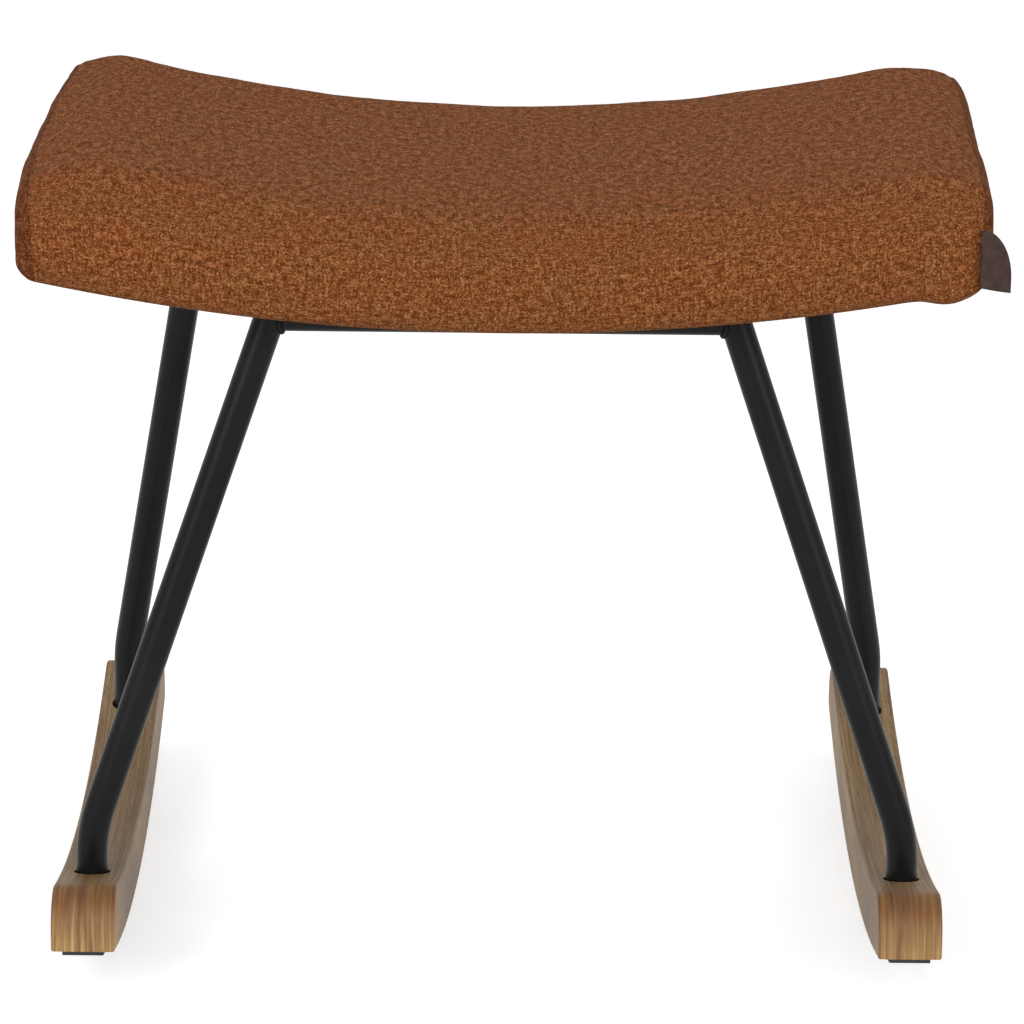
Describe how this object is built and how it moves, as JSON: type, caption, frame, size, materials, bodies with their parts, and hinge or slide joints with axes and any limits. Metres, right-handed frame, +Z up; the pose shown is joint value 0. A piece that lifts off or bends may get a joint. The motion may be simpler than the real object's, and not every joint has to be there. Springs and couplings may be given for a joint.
{
  "type": "rocking footstool",
  "caption": "Rocking footstool: dished upholstered cushion on a bent board, bent black tube legs and curved wooden rockers.",
  "frame": {"origin": "on the floor, midway between the two rockers and under the middle of the seat", "axes": "+X to the right along the seat's long way, +Y to the back, +Z up; the front, with the label tab, faces -Y"},
  "size_m": [0.553, 0.46, 0.4665],
  "materials": {
    "oak": "clear matt lacquer, grain along the rocker",
    "plywood": "raw bent plywood, hidden by the cushion",
    "black_steel": "satin black powder coat",
    "black_screw": "black plated",
    "zinc_steel": "zinc plated",
    "tread": "dark strip, matt",
    "foam": "open-cell foam, hidden by the cover",
    "rust_fabric": "coarse rust-coloured melange weave",
    "dust_cloth": "black non-woven",
    "label_leather": "dark brown tab, bare"
  },
  "bodies": {
    "root": {"cover_end_left": "rust_fabric", "cover_end_right": "rust_fabric", "cover_main": "rust_fabric", "dust_cover": "dust_cloth", "foot_bolts": "zinc_steel", "foot_plugs": "zinc_steel", "foot_washers": "zinc_steel", "front_crossbar": "black_steel", "front_leg_left": "black_steel", "front_leg_right": "black_steel", "front_plate_left": "black_steel", "front_plate_right": "black_steel", "label_tab": "label_leather", "rear_crossbar": "black_steel", "rear_leg_left": "black_steel", "rear_leg_right": "black_steel", "rear_plate_left": "black_steel", "rear_plate_right": "black_steel", "rocker_left": "oak", "rocker_right": "oak", "seat_board": "plywood", "seat_foam": "foam", "seat_screws": "black_screw", "staples": "zinc_steel", "tee_nuts": "zinc_steel", "tread_strip_left": "tread", "tread_strip_right": "tread"}
  },
  "joints": []
}
